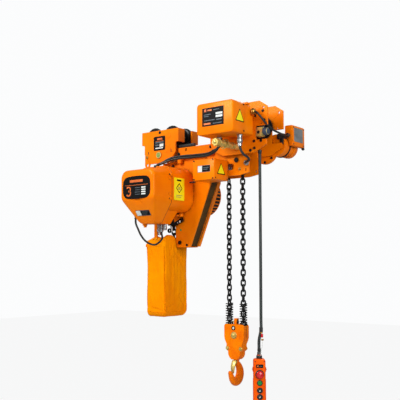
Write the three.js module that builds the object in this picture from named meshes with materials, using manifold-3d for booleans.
// Low-headroom electric chain hoist, 3 t, two falls of 10 x 30 mm load chain.
// Millimetres, +Z up.  X runs along the track beam (left is -X); -Y is the operator's
// side and the front.  Numbers are drawn from the hook's centre line (X = 0), the beam's
// web plane (Y = 0) and the wheels' treads on the lower flange (Z = 0).  part() then
// shifts each piece, which puts the origin on the suspension frame's top face, in the
// middle of its left cross-member.
import * as THREE from 'three';
import Module from 'manifold-3d';
import { mergeVertices } from 'three/addons/utils/BufferGeometryUtils.js';
import { ConvexGeometry } from 'three/addons/geometries/ConvexGeometry.js';

const wasm = await Module();
wasm.setup();

// ------------------------------------------------------- shared dimensions
const GAP = 0.3;       // clearance between neighbouring solids
const OVERCUT = 1;     // how far a cutter stands out past each face of a plate
const FALL_X = 50;     // each fall's distance from the hook's centre line

// y values are distances from the web plane; halfBase is half the wheels' spacing
const WHEEL = {
  treadRadius: 62, flangeRadius: 70, hubRadius: 24, boreRadius: 12.6, axleRadius: 12,
  y0: 23, flangeY0: 57, flangeY1: 68, y1: 76, halfBase: 72,
};
const HEAD = { inner: 48, outer: 60 };                // head plates' faces, from the web plane
const BEAM = { x0: -380, x1: -115, y0: HEAD.outer + GAP, y1: 80, z0: -86, z1: -22 };
const LEFT_MEMBER = { x0: -395, x1: -370, z0: -117.5 };
const PUSH = { x: -519, outer: 100, thickness: 10, halfLength: 153, top: 104, shoulderZ: 20 };
const PUSH_SHAFT = { x: -525, z: -55, radius: 16 };
const KING_PIN_RADIUS = 12;
const DRIVE = { x: 80, inner: BEAM.y1 + GAP, thickness: 10 };
DRIVE.outer = DRIVE.inner + DRIVE.thickness;
const LOAD_SHAFT = { x: DRIVE.x, z: -65, radius: 14 };
const UPPER_IDLER = { x: -95, z: -165, pinRadius: 9 };
const ANCHOR = { x: FALL_X, z: -135, radius: 10 };
const ARM = { frontY0: -46, frontY1: -36, rearY0: 24, rearY1: 34 };
const ARM_IDLER = { x: -393, z: -612 };
const BODY = { x: -436, z: -300 };                    // axis of motor and load sheave
const CASE = { half: 150, top: -152, bottom: -428, y0: -245, corner: 84, cornerSteps: 7 };
const MOTOR = { radius: 118, y1: 195 };
const FAN = { radius: 130, wall: 4, y1: 290 };
const BAG = { x0: -586, x1: -432, y0: -150, y1: 75, z0: -1067, z1: -613 };
const BLOCK = { top: -1097, bottom: -1300, half: 70, thickness: 27, sheaveZ: -1160 };
const PENDANT = {
  x: 213, y: -85, turn: 38 * Math.PI / 180,
  top: -1270, bottom: -1600, width: 66, depth: 58, neckTop: -1248,
};

const ORIGIN_SHIFT = [-(LEFT_MEMBER.x0 + LEFT_MEMBER.x1) / 2, 0, -BEAM.z1];

// ---------------------------------------------------------------- finishes
const ORANGE = 0xf07c0a;
const BLACK = 0x1c1d1f;
const ZINC = 0xb9a86a;
const STEEL = 0x9a9da0;
const FINISH = {
  paint: { color: ORANGE, roughness: 0.45, metalness: 0.1 },
  hanger: { color: ORANGE, roughness: 0.5, metalness: 0.1 },
  hook: { color: ORANGE, roughness: 0.45, metalness: 0.3 },
  bag: { color: 0xf08a14, roughness: 0.85, metalness: 0 },
  wheel: { color: BLACK, roughness: 0.5, metalness: 0.6 },
  anchorPin: { color: BLACK, roughness: 0.4, metalness: 0.8 },
  armPin: { color: BLACK, roughness: 0.4, metalness: 0.7 },
  chainGuide: { color: BLACK, roughness: 0.5, metalness: 0.5 },
  spring: { color: BLACK, roughness: 0.5, metalness: 0.8 },
  chain: { color: BLACK, roughness: 0.45, metalness: 0.8 },
  cable: { color: BLACK, roughness: 0.6, metalness: 0 },
  pendantCable: { color: 0x3c4446, roughness: 0.6, metalness: 0 },
  armGuard: { color: 0x2c2a20, roughness: 0.6, metalness: 0.3 },
  buffer: { color: 0x3d4a58, roughness: 0.7, metalness: 0.1 },
  zinc: { color: ZINC, roughness: 0.35, metalness: 0.9 },
  loadShaft: { color: ZINC, roughness: 0.3, metalness: 0.9 },
  sheave: { color: STEEL, roughness: 0.5, metalness: 0.8 },
  rotor: { color: STEEL, roughness: 0.4, metalness: 0.8 },
  stopButton: { color: 0xc81818, roughness: 0.35, metalness: 0 },
  button: { roughness: 0.4, metalness: 0 },           // colour comes from BUTTONS
};

// --------------------------------------------------------- solids and parts
// bare positions, welded, without collapsed triangles and facing outwards
function clean(source) {
  let geometry = source.clone();
  for (const key of Object.keys(geometry.attributes)) {
    if (key !== 'position') geometry.deleteAttribute(key);
  }
  geometry = mergeVertices(geometry, 1e-3);
  const position = geometry.attributes.position;
  const corners = [0, 1, 2].map(() => new THREE.Vector3());
  const welded = geometry.index.array;
  const index = [];
  let volume = 0;
  for (let i = 0; i < welded.length; i += 3) {
    const triangle = [welded[i], welded[i + 1], welded[i + 2]];
    if (new Set(triangle).size < 3) continue;
    index.push(...triangle);
    corners.forEach((corner, k) => corner.fromBufferAttribute(position, triangle[k]));
    volume += corners[0].dot(corners[1].cross(corners[2]));
  }
  if (volume < 0) {
    for (let i = 0; i < index.length; i += 3) {
      [index[i], index[i + 1]] = [index[i + 1], index[i]];
    }
  }
  geometry.setIndex(index);
  return geometry;
}

function toManifold(source) {
  const geometry = clean(source);
  return new wasm.Manifold(new wasm.Mesh({
    numProp: 3,
    vertProperties: new Float32Array(geometry.attributes.position.array),
    triVerts: new Uint32Array(geometry.index.array),
  }));
}

// join the first list of geometries, then cut the second list away
function build(adds, cuts = []) {
  let body = toManifold(adds[0]);
  for (const add of adds.slice(1)) body = body.add(toManifold(add));
  for (const cut of cuts) body = body.subtract(toManifold(cut));
  const mesh = body.getMesh();
  const geometry = new THREE.BufferGeometry();
  const positions = new Float32Array(mesh.vertProperties);
  geometry.setAttribute('position', new THREE.BufferAttribute(positions, 3));
  geometry.setIndex(Array.from(mesh.triVerts));
  return geometry;
}

const group = new THREE.Group();
function part(name, source, finish = FINISH.paint) {
  const geometry = clean(source);
  geometry.translate(...ORIGIN_SHIFT);
  geometry.computeVertexNormals();
  const mesh = new THREE.Mesh(geometry, new THREE.MeshStandardMaterial(finish));
  mesh.name = name;
  group.add(mesh);
}

// ---------------------------------------------------------- outlines, [x, z]
const toVector2 = ([x, y]) => new THREE.Vector2(x, y);
const toVector3 = (point) => new THREE.Vector3(...point);

function roundedRect(x0, x1, z0, z1, radius, steps = 5) {
  const corners = [
    [x1 - radius, z1 - radius], [x0 + radius, z1 - radius],
    [x0 + radius, z0 + radius], [x1 - radius, z0 + radius],
  ];
  return corners.flatMap(([x, z], corner) => Array.from({ length: steps + 1 }, (_, i) => {
    const angle = (Math.PI / 2) * (corner + i / steps);
    return [x + radius * Math.cos(angle), z + radius * Math.sin(angle)];
  }));
}

function circle(x, z, radius, sides = 20) {
  return Array.from({ length: sides }, (_, i) => {
    const angle = 2 * Math.PI * i / sides;
    return [x + radius * Math.cos(angle), z + radius * Math.sin(angle)];
  });
}

// outline symmetric about centreX, from one half given as [offset from centreX, z]
function mirrored(half, centreX) {
  return [
    ...half.map(([offset, z]) => [centreX + offset, z]),
    ...[...half].reverse().map(([offset, z]) => [centreX - offset, z]),
  ];
}

// a span of Y given by its distances from the web plane; side is -1 front, 1 rear
const spanOn = (side, near, far) => (side < 0 ? [-far, -near] : [near, far]);

// ------------------------------------------------------------ basic shapes
// flat plate in the XZ plane between y0 and y1
function plate(outline, y0, y1, bevel = 0) {
  const geometry = new THREE.ExtrudeGeometry(new THREE.Shape(outline.map(toVector2)), {
    depth: y1 - y0 - 2 * bevel,
    bevelEnabled: bevel > 0,
    bevelThickness: bevel,
    bevelSize: bevel,
    bevelOffset: -bevel,
    bevelSegments: 2,
  });
  geometry.rotateX(Math.PI / 2);
  geometry.translate(0, y1 - bevel, 0);
  return geometry;
}

// cutters that pass right through a plate lying between y0 and y1
const through = (y0, y1, outlines) => (
  outlines.map((outline) => plate(outline, y0 - OVERCUT, y1 + OVERCUT)));

function box(x0, x1, y0, y1, z0, z1) {
  const geometry = new THREE.BoxGeometry(x1 - x0, y1 - y0, z1 - z0);
  geometry.translate((x0 + x1) / 2, (y0 + y1) / 2, (z0 + z1) / 2);
  return geometry;
}

const cylinderY = (x, z, radius, y0, y1, sides) => plate(circle(x, z, radius, sides), y0, y1);

function cylinderZ(x, y, radius, z0, z1, sides) {
  const geometry = new THREE.CylinderGeometry(radius, radius, z1 - z0, sides);
  geometry.rotateX(Math.PI / 2);
  geometry.translate(x, y, (z0 + z1) / 2);
  return geometry;
}

function cylinderX(y, z, radius, x0, x1, sides) {
  const geometry = new THREE.CylinderGeometry(radius, radius, x1 - x0, sides);
  geometry.rotateZ(Math.PI / 2);
  geometry.translate((x0 + x1) / 2, y, z);
  return geometry;
}

// turned piece about an axis along Y through (x, z); profile is [radius, y] pairs
function turned(profile, x, z, sides) {
  const geometry = new THREE.LatheGeometry(profile.map(toVector2), sides);
  geometry.translate(x, 0, z);
  return geometry;
}

const hull = (points) => new ConvexGeometry(points.map(toVector3));

// round bar along a list of points, with one radius or one for each; flat ends
function bar(points, radii, sides) {
  const path = points.map(toVector3);
  const last = path.length - 1;
  const positions = [];
  const index = [];
  let normal = null;
  path.forEach((centre, i) => {
    const tangent = new THREE.Vector3()
      .subVectors(path[Math.min(i + 1, last)], path[Math.max(i - 1, 0)]).normalize();
    normal ??= toVector3(Math.abs(tangent.y) < 0.9 ? [0, 1, 0] : [1, 0, 0]);
    normal.addScaledVector(tangent, -normal.dot(tangent)).normalize();
    const binormal = new THREE.Vector3().crossVectors(tangent, normal);
    const radius = Array.isArray(radii) ? radii[i] : radii;
    for (let k = 0; k < sides; k++) {
      const angle = 2 * Math.PI * k / sides;
      const point = centre.clone()
        .addScaledVector(normal, radius * Math.cos(angle))
        .addScaledVector(binormal, radius * Math.sin(angle));
      positions.push(...point.toArray());
    }
  });
  for (let i = 0; i < last; i++) {
    for (let k = 0; k < sides; k++) {
      const here = i * sides + k;
      const next = i * sides + (k + 1) % sides;
      index.push(here, next, here + sides, next, next + sides, here + sides);
    }
  }
  for (const end of [0, last]) {
    const centre = positions.length / 3;
    positions.push(...path[end].toArray());
    for (let k = 0; k < sides; k++) {
      const here = end * sides + k;
      const next = end * sides + (k + 1) % sides;
      index.push(centre, ...(end === 0 ? [next, here] : [here, next]));
    }
  }
  const geometry = new THREE.BufferGeometry();
  geometry.setAttribute('position', new THREE.Float32BufferAttribute(positions, 3));
  geometry.setIndex(index);
  return geometry;
}

function spline(points, steps) {
  const curve = new THREE.CatmullRomCurve3(points.map(toVector3), false, 'centripetal');
  return curve.getPoints(steps).map((point) => point.toArray());
}

// section of a grooved wheel, as [radius, y]
const grooved = (bore, rim, root, halfWidth) => [
  [bore, -halfWidth], [rim, -halfWidth], [rim, -halfWidth * 0.6], [root, -halfWidth * 0.33],
  [root, halfWidth * 0.33], [rim, halfWidth * 0.6], [rim, halfWidth], [bore, halfWidth],
  [bore, -halfWidth],
];

// ------------------------------------------------------------------- wheels
function wheel(x, side) {
  const profile = [
    [WHEEL.boreRadius, WHEEL.y0], [WHEEL.treadRadius, WHEEL.y0],
    [WHEEL.treadRadius, WHEEL.flangeY0], [WHEEL.flangeRadius, WHEEL.flangeY0],
    [WHEEL.flangeRadius, WHEEL.flangeY1], [WHEEL.hubRadius, WHEEL.flangeY1],
    [WHEEL.hubRadius, WHEEL.y1], [WHEEL.boreRadius, WHEEL.y1], [WHEEL.boreRadius, WHEEL.y0],
  ];
  return turned(profile.map(([radius, y]) => [radius, side * y]), x, WHEEL.treadRadius, 20);
}
for (const [trolley, centreX] of [['drive', DRIVE.x], ['push', PUSH.x]]) {
  for (const [row, side] of [['front', -1], ['rear', 1]]) {
    for (const [hand, end] of [['left', -1], ['right', 1]]) {
      const x = centreX + end * WHEEL.halfBase;
      part(`${trolley}_wheel_${row}_${hand}`, wheel(x, side), FINISH.wheel);
    }
  }
}

// the two stub axles a trolley plate carries, ending at a distance from the web plane
function stubAxles(centreX, side, far) {
  return [-1, 1].map((end) => cylinderY(
    centreX + end * WHEEL.halfBase, WHEEL.treadRadius, WHEEL.axleRadius,
    ...spanOn(side, 26, far), 20));
}

// ------------------------------------------------------------- push trolley
function pushPlate(side) {
  const { x, outer, halfLength, top, shoulderZ } = PUSH;
  const [y0, y1] = spanOn(side, outer - PUSH.thickness, outer);
  const outline = mirrored([
    [-halfLength, top], [-halfLength, shoulderZ], [-136, shoulderZ], [-130, 12],
    [-130, -42], [-80, -107],
  ], x);
  const adds = [plate(outline, y0, y1)];
  // upright end strips turned in towards the web
  for (const x0 of [x - halfLength, x + halfLength - 10]) {
    adds.push(box(x0, x0 + 10, ...spanOn(side, 38, outer - 1), shoulderZ, top));
  }
  adds.push(...stubAxles(x, side, outer - 2));
  const cuts = through(y0, y1, [
    circle(PUSH_SHAFT.x, PUSH_SHAFT.z, PUSH_SHAFT.radius + 0.5, 24),
    circle(x, 92, 4, 10),
    roundedRect(-620, -614, -46, -26, 2.9, 2),
    roundedRect(-428, -422, -42, -22, 2.9, 2),
  ]);
  if (side < 0) {
    const lug = [
      [-646, -50], [-646, -112], [-640, -128], [-625, -135], [-610, -128], [-604, -112],
      [-604, -60],
    ];
    adds.push(plate(lug, y0 + 0.5, y1 - 0.5));
    cuts.push(...through(y0, y1, [circle(-625, -112, 9, 12)]));
  }
  return build(adds, cuts);
}
part('push_plate_front', pushPlate(-1));
part('push_plate_rear', pushPlate(1));

// suspension shaft with its swivel block and headed king pin
part('push_trolley_shaft', build([
  cylinderY(PUSH_SHAFT.x, PUSH_SHAFT.z, PUSH_SHAFT.radius, -107, 107, 20),
  box(PUSH_SHAFT.x - 24, PUSH_SHAFT.x + 24, -28, 28, -82, -30),
  cylinderZ(PUSH_SHAFT.x, 0, KING_PIN_RADIUS, -130, -80, 16),
  cylinderZ(PUSH_SHAFT.x, 0, 20, -130, -118.2, 16),
]), FINISH.zinc);

// --------------------------------------------------------- suspension frame
// two side beams, two cross-members and a tongue bored for the king pin
part('suspension_frame', build([
  ...[-1, 1].map((side) => (
    box(BEAM.x0, BEAM.x1, ...spanOn(side, BEAM.y0, BEAM.y1), BEAM.z0, BEAM.z1))),
  box(LEFT_MEMBER.x0, LEFT_MEMBER.x1, -72, 72, LEFT_MEMBER.z0, BEAM.z1),
  box(-205, -185, -72, 72, -60, BEAM.z1 - 2),
  box(-552, BEAM.x0, -30, 30, LEFT_MEMBER.z0, -100),
], [cylinderZ(PUSH_SHAFT.x, 0, KING_PIN_RADIUS + 0.7, -130, -90, 16)]));

// -------------------------------------------------------------- head bracket
const HEAD_OUTLINE = [
  [-170, -30], [122, -30], [122, -112], [134, -118], [134, -214], [62, -226], [-160, -226],
  [-170, -216],
];
function headPlate(side) {
  const [y0, y1] = spanOn(side, HEAD.inner, HEAD.outer);
  const { x, z, pinRadius } = UPPER_IDLER;
  const adds = [plate(HEAD_OUTLINE, y0, y1)];
  const holes = [
    circle(LOAD_SHAFT.x, LOAD_SHAFT.z, LOAD_SHAFT.radius + 0.5, 20),
    circle(ANCHOR.x, ANCHOR.z, ANCHOR.radius + 0.5, 16),
    roundedRect(-30, 26, -190, -153, 12, 4),
    roundedRect(110, 117, -206, -188, 3.4, 2),
  ];
  if (side < 0) {
    holes.push(circle(x, z, pinRadius + 0.5, 16));
  } else {
    // the rear plate carries the upper idler's pin, pressed in and riveted over
    adds.push(cylinderY(x, z, pinRadius, -HEAD.outer, y0 + 1, 16));
    adds.push(cylinderY(x, z, 15, y1 - 1, y1 + 8, 16));
  }
  return build(adds, through(y0, y1, holes));
}
part('head_plate_front', headPlate(-1));
part('head_plate_rear', headPlate(1));

// six-sided head in front, round head behind
part('chain_anchor_pin', build([
  cylinderY(ANCHOR.x, ANCHOR.z, ANCHOR.radius, -66, 66, 16),
  cylinderY(ANCHOR.x, ANCHOR.z, 15, -70, -HEAD.outer - GAP, 6),
  cylinderY(ANCHOR.x, ANCHOR.z, 15, HEAD.outer + GAP, 70, 16),
]), FINISH.anchorPin);
part('upper_idler',
  turned(grooved(9.6, 57, 45, 15), UPPER_IDLER.x, UPPER_IDLER.z, 20), FINISH.sheave);

// ----------------------------------------------------------------------- arm
const ARM_OUTLINE = [
  [-416, -642], [-318, -642], [-310, -636], [-152, -250], [-150, -92], [-362, -92],
  [-364, -118.6], [-472, -118.6], [-484, -126], [-490, -150], [-560, -205], [-578, -300],
  [-548, -392], [-452, -446], [-430, -519], [-427, -610],
];
const ARM_FLANGE = [
  [-326, -636], [-310, -636], [-152, -250], [-152, -236], [-162, -236], [-163, -250],
];
const ARM_GUARD = [
  [-321, -634], [-314.5, -636], [-156, -251], [-156, -236], [-163, -236], [-164, -251],
];
function armPlate(y0, y1, extras = []) {
  return build([plate(ARM_OUTLINE, y0, y1), ...extras], through(y0, y1, [
    circle(BODY.x, BODY.z, 20, 20),
    circle(ARM_IDLER.x, ARM_IDLER.z, 7.5, 14),
    circle(-453, -130, 7, 12),
  ]));
}
part('arm_plate_front', armPlate(ARM.frontY0, ARM.frontY1));
// the rear plate has a flange along its sloping right edge
part('arm_plate_rear', armPlate(ARM.rearY0, ARM.rearY1,
  [plate(ARM_FLANGE, ARM.rearY0 + 1, ARM.rearY1 + 22)]));
part('arm_chain_guard',
  plate(ARM_GUARD, ARM.frontY1 + GAP, ARM.rearY0 - GAP), FINISH.armGuard);
part('arm_idler',
  turned(grooved(7.6, 30, 21, 13), ARM_IDLER.x, ARM_IDLER.z, 20), FINISH.sheave);
part('arm_idler_pin', build([
  cylinderY(ARM_IDLER.x, ARM_IDLER.z, 7, -50, 40, 14),
  cylinderY(ARM_IDLER.x, ARM_IDLER.z, 12, -55, ARM.frontY0 - GAP, 14),
  cylinderY(ARM_IDLER.x, ARM_IDLER.z, 12, ARM.rearY1 + GAP, 44, 14),
]), FINISH.armPin);

// ---------------------------------------------------------------- hoist body
// tapering foot under the gear case; outline is two top corners, then two bottom ones
function caseFoot(outline, frontY, topRearY, bottomRearY) {
  return hull([
    ...outline.map(([x, z]) => [x, frontY, z]),
    ...outline.map(([x, z], i) => [x, i < 2 ? topRearY : bottomRearY, z]),
  ]);
}
part('gear_case', build([
  plate(roundedRect(BODY.x - CASE.half, BODY.x + CASE.half, CASE.bottom, CASE.top,
    CASE.corner, CASE.cornerSteps), CASE.y0, ARM.frontY0 - GAP),
  cylinderY(BODY.x, BODY.z, 72, -330, CASE.y0 + 1, 28),
  cylinderY(BODY.x, BODY.z, 60, -352, -329, 28),
  caseFoot([[-540, -400], [-332, -400], [-485, -503], [-387, -503]], CASE.y0, -120, -150),
], [cylinderY(BODY.x, BODY.z, 19.5, -72, ARM.frontY0 + 1, 20)]));

// the cover's outside when wall is 0; otherwise its hollow, which is open at the back
function coverForm(wall) {
  const rearY = wall > 0 ? CASE.y0 + 8 : CASE.y0 - GAP;
  // y, half width, top z, bottom z, corner radius
  const rings = [
    [-400 + wall, 122, -201, -360, 34],
    [-394 + wall, 129, -192, -362, 40],
    [-380 + wall, 133, -186, -366, 46],
    [rearY, 143, -160, -372, 66],
  ];
  const points = [];
  for (const [y, outerHalf, outerTop, bottom, radius] of rings) {
    const half = outerHalf - wall;
    const top = outerTop - wall;
    for (const side of [-1, 1]) {
      for (let i = 0; i <= 5; i++) {
        const angle = (Math.PI / 2) * i / 5;
        const x = BODY.x + side * (half - radius + radius * Math.sin(angle));
        points.push([x, y, top - radius + radius * Math.cos(angle)]);
      }
    }
    for (const side of [-1, 1]) points.push([BODY.x + side * half, y, bottom + wall / 2]);
  }
  // narrow lower end
  const half = 54 - wall * 0.6;
  for (const y of [-306 + wall * 0.8, rearY]) {
    for (const [offset, z] of [[-half, -500], [6 - half, -505], [half - 6, -505], [half, -500]]) {
      points.push([BODY.x + offset, y, z + wall]);
    }
  }
  return hull(points);
}
part('electric_cover', build([coverForm(0)], [coverForm(4)]));

// ribbed housing, bored for the rotor
function motorHousing() {
  const ribs = 20;
  const valley = 110;
  // angle as a fraction of the rib pitch, radius
  const rib = [[-0.28, valley], [-0.2, MOTOR.radius], [0.2, MOTOR.radius], [0.28, valley]];
  const outline = [];
  for (let i = 0; i < ribs; i++) {
    for (const [fraction, radius] of rib) {
      const angle = 2 * Math.PI * (i + fraction) / ribs;
      outline.push([BODY.x + radius * Math.cos(angle), BODY.z + radius * Math.sin(angle)]);
    }
  }
  return build([plate(outline, ARM.rearY1 + GAP, MOTOR.y1)],
    [cylinderY(BODY.x, BODY.z, 52, 60, MOTOR.y1 + OVERCUT, 24)]);
}
part('motor_housing', motorHousing());

const FAN_INNER = FAN.radius - FAN.wall;
part('fan_cover', turned([
  [FAN_INNER, MOTOR.y1 + GAP], [FAN.radius, MOTOR.y1 + GAP], [FAN.radius, 262], [124, 278],
  [108, FAN.y1], [24, FAN.y1], [24, FAN.y1 - FAN.wall], [106, FAN.y1 - FAN.wall],
  [120, 275], [FAN_INNER, 260], [FAN_INNER, MOTOR.y1 + GAP],
], BODY.x, BODY.z, 28));
part('motor_rotor', turned([
  [0, 66], [48, 66], [48, 188], [12, 188], [12, 212], [85, 212], [85, 232], [12, 232],
  [12, 242], [0, 242],
], BODY.x, BODY.z, 20), FINISH.rotor);
part('load_sheave', turned([
  [0, -68], [18, -68], [18, -15], [56, -15], [56, -9], [44, -5], [44, 5], [56, 9], [56, 15],
  [18, 15], [18, 31], [0, 31],
], BODY.x, BODY.z, 20), FINISH.sheave);

// block under the sheave with one round hole on each side
part('chain_guide', build(
  [box(BODY.x - 70, BODY.x + 70, -33, 22, -502, -452)],
  [45, -45].map((offset) => cylinderZ(BODY.x + offset, 0, 19, -510, -440, 16)),
), FINISH.chainGuide);
part('junction_box', build(
  [plate(roundedRect(-170, -12, -256, -133, 7, 3), -200, -HEAD.outer - GAP, 4)],
  [plate(roundedRect(-166, -16, -252, -137, 4, 2), -196, -HEAD.outer + 4)]));

// ----------------------------------------------------------------- chain bag
// rectangular rim on two straps, cut clear of the gear case, its foot and the motor
part('bag_hanger', build([
  box(BAG.x0 + 4, BAG.x1 - 4, BAG.y0 + 3, BAG.y1 - 4, -611.5, -600),
  ...[-147, 62].map((y) => box(-520, -496, y, y + 8, -605, -360)),
], [
  box(BAG.x0 + 14, BAG.x1 - 14, BAG.y0 + 13, BAG.y1 - 14, -620, -590),
  plate(roundedRect(BODY.x - CASE.half - GAP, BODY.x + CASE.half + GAP, CASE.bottom - GAP,
    CASE.top + 5, CASE.corner, CASE.cornerSteps), -250, ARM.frontY0),
  caseFoot([[-540.5, -399], [-331, -399], [-485.5, -503.5], [-386, -503.5]], -260, -119, -149),
  cylinderY(BODY.x, BODY.z, MOTOR.radius + 1.5, 30, 200, 40),
]), FINISH.hanger);

function chainBag() {
  const wall = 10;
  const layers = [[0, BAG.z1], [4, BAG.z0 + 14], [16, BAG.z0]];      // inset, z
  const points = layers.flatMap(([inset, z]) => [
    [BAG.x0 + inset, BAG.y0 + inset, z], [BAG.x1 - inset, BAG.y0 + inset, z],
    [BAG.x0 + inset, BAG.y1 - inset, z], [BAG.x1 - inset, BAG.y1 - inset, z],
  ]);
  return build([hull(points)], [box(BAG.x0 + wall, BAG.x1 - wall,
    BAG.y0 + wall, BAG.y1 - wall, BAG.z0 + wall, BAG.z1 + 10)]);
}
part('chain_bag', chainBag(), FINISH.bag);

// ------------------------------------------------------------ driven trolley
const DRIVE_OUTLINE = [
  [-123, 150], [-70, 190], [231, 190], [284, 155], [284, 44], [205, 44], [205, -36],
  [276, -36], [276, -66], [212, -98], [190, -107], [-30, -107], [-100, -72], [-123, -30],
];
const DRIVE_MOTOR = { x: 225, z: -45 };
function drivePlate(side) {
  const [y0, y1] = spanOn(side, DRIVE.inner, DRIVE.outer);
  return build(
    [plate(DRIVE_OUTLINE, y0, y1), ...stubAxles(DRIVE.x, side, DRIVE.inner + 5)],
    through(y0, y1, [
      circle(LOAD_SHAFT.x, LOAD_SHAFT.z, LOAD_SHAFT.radius + 0.5, 20),
      roundedRect(251, 263, 138, 154, 5.8, 3),
      circle(244, 55, 3.5, 10),
    ]));
}
part('drive_plate_front', drivePlate(-1));
part('drive_plate_rear', drivePlate(1));

// shaft with a six-sided end, a round collar and a six-sided collar at the front plate
part('load_shaft', build([
  [LOAD_SHAFT.radius, -310, DRIVE.outer, 20],
  [20, -312, -288, 6],
  [19, -204, -194, 20],
  [19, -112, -DRIVE.outer - GAP, 6],
].map((stage) => cylinderY(LOAD_SHAFT.x, LOAD_SHAFT.z, ...stage))), FINISH.loadShaft);
part('end_buffer', build([
  box(205.3, 243, -92, -68, -14, 31),
  cylinderX(-80, 8, 20, 240, 283, 16),
]), FINISH.buffer);

const GEARBOX_Y0 = DRIVE.outer + GAP;
const GEARBOX_Y1 = 130;
part('trolley_gearbox', build([
  turned([[0, GEARBOX_Y0], [80, GEARBOX_Y0], [80, 112], [73, 122], [0, 124]], 149, -72, 28),
  cylinderY(DRIVE_MOTOR.x, DRIVE_MOTOR.z, 66, GEARBOX_Y0, GEARBOX_Y1, 28),
]));
part('trolley_motor', turned([
  [0, GEARBOX_Y1 + GAP], [62, GEARBOX_Y1 + GAP], [62, 150], [57, 152], [57, 208], [62, 210],
  [62, 246], [54, 258], [0, 262],
], DRIVE_MOTOR.x, DRIVE_MOTOR.z, 24));
part('trolley_terminal_box', build(
  [box(264, 312, 134, 278, -48, 72)],
  [cylinderY(DRIVE_MOTOR.x, DRIVE_MOTOR.z, 66.5, 100, 330, 36)]));

// --------------------------------------------------------------- control box
const COVER_REAR = -207;
part('control_box_cover', build(
  [plate(roundedRect(-40, 215, -22, 160, 20, 4), -330, COVER_REAR, 7)],
  [plate(roundedRect(-35, 210, -17, 155, 14, 3), -325, COVER_REAR + OVERCUT)]));
// the base carries the contactor rows that the cover hides
part('control_box_base', build([
  plate(roundedRect(-34, 209, -15, 154, 12, 3), COVER_REAR + GAP, -127),
  box(0, 160, -130, -DRIVE.outer - GAP, 12, 132),
  ...[-14, 40, 94, 148].map((x) => box(x, x + 46, -278, -150, 84, 138)),
  box(-14, 194, -250, -150, 18, 48),
], [box(150, 230, -150, -120, 96, 170)]));

// -------------------------------------------------------------------- cables
// name, radius, steps along the curve, points the curve passes through
const CABLES = [
  ['power_cable', 7, 24, [
    [44, -225, -22.4], [44, -225, -62], [28, -222, -90], [-20, -214, -107],
    [-90, -205, -113], [-170, -195, -116], [-250, -185, -112], [-330, -195, -112],
    [-395, -222, -122], [-424, -233, -138], [-425, -234, -151.6],
  ]],
  ['limit_cable', 6, 22, [
    [-524.2, -300, -457.2], [-532, -300, -463], [-534, -299, -496], [-516, -297, -536],
    [-497, -292, -573], [-471, -280, -607], [-446, -262, -625], [-430, -240, -629],
    [-420, -212, -613], [-420, -186, -589], [-440, -168, -560], [-445, -165, -530],
    [-445, -165, -503.6],
  ]],
  ['control_cable', 7, 16, [
    [186, -225, -22.4], [186, -225, -80], [188, -215, -112], [190, -190, -132],
    [186, -150, -140], [170, -110, -150], [148, -96, -156], [124, -78, -158],
    [122, -60.8, -158],
  ]],
];
for (const [name, radius, steps, points] of CABLES) {
  part(name, bar(spline(points, steps), radius, 8), FINISH.cable);
}

// ---------------------------------------------------------------- hook block
const BLOCK_OUTLINE = mirrored([
  [BLOCK.half - 8, BLOCK.top], [BLOCK.half, BLOCK.top - 8], [BLOCK.half, -1172],
  [65, -1190], [54, -1212], [55, -1236], [51, -1247], [43, -1254], [42, -1272], [34, -1288],
  [20, BLOCK.bottom],
], 0);
function blockHalf(side) {
  const { top, bottom, thickness, sheaveZ } = BLOCK;
  const adds = [
    plate(BLOCK_OUTLINE, ...spanOn(side, GAP / 2, thickness)),
    // half of the lug that stands between the two falls
    box(-9, 9, ...spanOn(side, GAP / 2, 12), top - 4, top + 32),
  ];
  const cuts = [
    cylinderY(0, sheaveZ, 58, -19, 19, 24),
    // chain passages above the sheave
    box(31, 67.5, -19, 19, sheaveZ, top + 5),
    box(-67.5, -31, -19, 19, sheaveZ, top + 5),
    // bore for the hook's shank and pocket for its collar
    cylinderZ(0, 0, 13.6, bottom - 5, -1235, 16),
    cylinderZ(0, 0, 22.5, -1262, -1232, 16),
  ];
  if (side > 0) {
    return build(adds, [...cuts, cylinderY(0, sheaveZ, 10.6, -1, thickness + OVERCUT, 16)]);
  }
  // the sheave's pin and its six-sided head join the front half after the hollow is cut
  return build([
    build(adds, cuts),
    cylinderY(0, sheaveZ, 10, -thickness + 2, thickness + 6, 16),
    cylinderY(0, sheaveZ, 14, -thickness - 9, -thickness + 1, 6),
  ]);
}
part('block_half_front', blockHalf(-1));
part('block_half_rear', blockHalf(1));
part('block_sheave', turned(grooved(10.7, 54, 42, 16), 0, BLOCK.sheaveZ, 20), FINISH.sheave);

// each spring is drawn as a plain tube round its fall
function bufferSpring(x) {
  const inner = 18.4;
  const outer = 22;
  const length = 124;
  const profile = [[inner, 0], [outer, 0], [outer, length], [inner, length], [inner, 0]];
  const geometry = turned(profile, 0, 0, 18);
  geometry.rotateX(Math.PI / 2);
  geometry.translate(x, 0, BLOCK.top + GAP);
  return geometry;
}
part('buffer_spring_left', bufferSpring(-FALL_X), FINISH.spring);
part('buffer_spring_right', bufferSpring(FALL_X), FINISH.spring);

// a fall of chain: the two crossed link widths, as one bar
function chainFall(x, top) {
  const wide = 16.4;
  const thin = 5;
  const bottom = -1112;
  const cross = [
    [wide, thin], [thin, thin], [thin, wide], [-thin, wide], [-thin, thin], [-wide, thin],
    [-wide, -thin], [-thin, -thin], [-thin, -wide], [thin, -wide], [thin, -thin],
    [wide, -thin],
  ];
  const geometry = new THREE.ExtrudeGeometry(new THREE.Shape(cross.map(toVector2)), {
    depth: top - bottom,
    bevelEnabled: false,
  });
  geometry.translate(x, 0, bottom);
  return geometry;
}
part('chain_fall_left', chainFall(-FALL_X, -227), FINISH.chain);
part('chain_fall_right', chainFall(FALL_X, -150), FINISH.chain);

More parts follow.
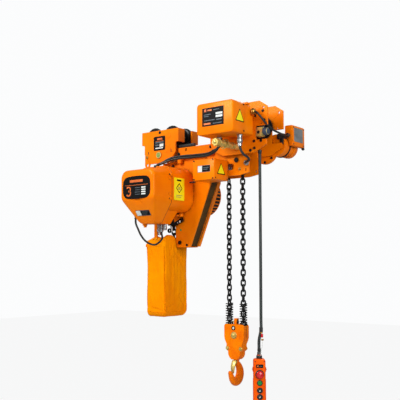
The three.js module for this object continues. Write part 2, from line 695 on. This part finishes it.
// ------------------------------------------------------------ hook and latch
// drawn in the XZ plane, then turned so the throat faces the operator
const faceOperator = (geometry) => geometry.rotateZ(Math.PI / 2);
const LATCH_PIVOT = [-20, -1312];
// x, z, radius down the shank and round to the tip
const HOOK_STATIONS = [
  [0, -1244, 12.6], [0, -1270, 12.6], [0, -1300, 12.9], [3, -1318, 15], [18, -1338, 19],
  [30, -1362, 22], [30, -1390, 24], [14, -1417, 25], [-14, -1428, 23], [-38, -1414, 19.5],
  [-52, -1395, 16.5], [-62, -1376, 13.5], [-75, -1361, 9.5],
];
const HOOK_LUG = [
  [-28, -1306], [-16, -1301], [4, -1300], [4, -1326], [-16, -1322], [-28, -1319],
];
const LATCH_OUTLINE = [
  [-24, -1306], [-34, -1318], [-43, -1342], [-41, -1377], [-36.5, -1377], [-38.5, -1344],
  [-30, -1326], [-18, -1318],
];
function hookBar() {
  const steps = 26;
  const path = spline(HOOK_STATIONS.map(([x, z]) => [x, 0, z]), steps);
  const radii = path.map((_, i) => {
    const place = i / steps * (HOOK_STATIONS.length - 1);
    const before = Math.min(Math.floor(place), HOOK_STATIONS.length - 2);
    const radius = HOOK_STATIONS[before][2];
    return radius + (HOOK_STATIONS[before + 1][2] - radius) * (place - before);
  });
  return bar(path, radii, 14);
}
part('load_hook', faceOperator(build([
  hookBar(),
  cylinderZ(0, 0, 21, -1256, -1240, 12),
  plate(HOOK_LUG, -6, 6),
  cylinderY(...LATCH_PIVOT, 3, -13.8, 13.8, 10),
])), FINISH.hook);
part('hook_latch', faceOperator(build([
  plate(LATCH_OUTLINE, -13.5, 13.5),
  cylinderY(...LATCH_PIVOT, 6.4, -13.5, 13.5, 12),
], [
  cylinderY(...LATCH_PIVOT, 3.5, -16, 16, 12),
  box(-32, 8, -6.4, 6.4, -1330, -1290),
])), FINISH.zinc);

// ------------------------------------------------------------------- pendant
part('pendant_cable', bar([
  [218, -70, -112], [218, -70, -300], [220, -73, -700], [223, -79, -1050],
  [224, -81, -1110], [219, -84, -1140], [PENDANT.x, PENDANT.y, -1170],
  [PENDANT.x, PENDANT.y, PENDANT.neckTop + GAP],
], 9, 12), FINISH.pendantCable);

const PENDANT_FACE = PENDANT.y - PENDANT.depth / 2;
const STOP_Z = -1353;
const BUTTONS = [
  ['start_button', -1399, 0x1f8a3a],
  ['up_button', -1440, BLACK],
  ['down_button', -1475, BLACK],
  ['left_button', -1515, BLACK],
  ['right_button', -1550, BLACK],
];
// [radius, y from the pendant's face]
const STOP_PROFILE = [[0, -22], [12, -21], [20, -16], [20, -10], [8, -8.4], [8, 16], [0, 16]];
const BUTTON_PROFILE = [[0, -6], [10, -6], [12, -4.5], [12, 9], [0, 9]];

function turnPendant(geometry) {
  geometry.translate(-PENDANT.x, -PENDANT.y, 0);
  geometry.rotateZ(PENDANT.turn);
  geometry.translate(PENDANT.x, PENDANT.y, 0);
  return geometry;
}
function pendantHousing() {
  const { x, y, width, depth, top, bottom, neckTop } = PENDANT;
  const outline = roundedRect(x - width / 2, x + width / 2, bottom, top, 12, 3);
  const socket = (z, radius, deep) => (
    cylinderY(x, z, radius, PENDANT_FACE - 2, PENDANT_FACE + deep, 14));
  return build([
    plate(outline, PENDANT_FACE, y + depth / 2, 5),
    cylinderZ(x, y, 13, top - 8, neckTop, 14),
  ], [socket(STOP_Z, 9, 26), ...BUTTONS.map(([, z]) => socket(z, 12.5, 16))]);
}
function pendantButton(profile, z, sides) {
  const placed = profile.map(([radius, y]) => [radius, PENDANT_FACE + y]);
  return turnPendant(turned(placed, PENDANT.x, z, sides));
}
part('pendant_housing', turnPendant(pendantHousing()));
part('emergency_stop_button', pendantButton(STOP_PROFILE, STOP_Z, 20), FINISH.stopButton);
for (const [name, z, color] of BUTTONS) {
  part(name, pendantButton(BUTTON_PROFILE, z, 14), { ...FINISH.button, color });
}

export default group;
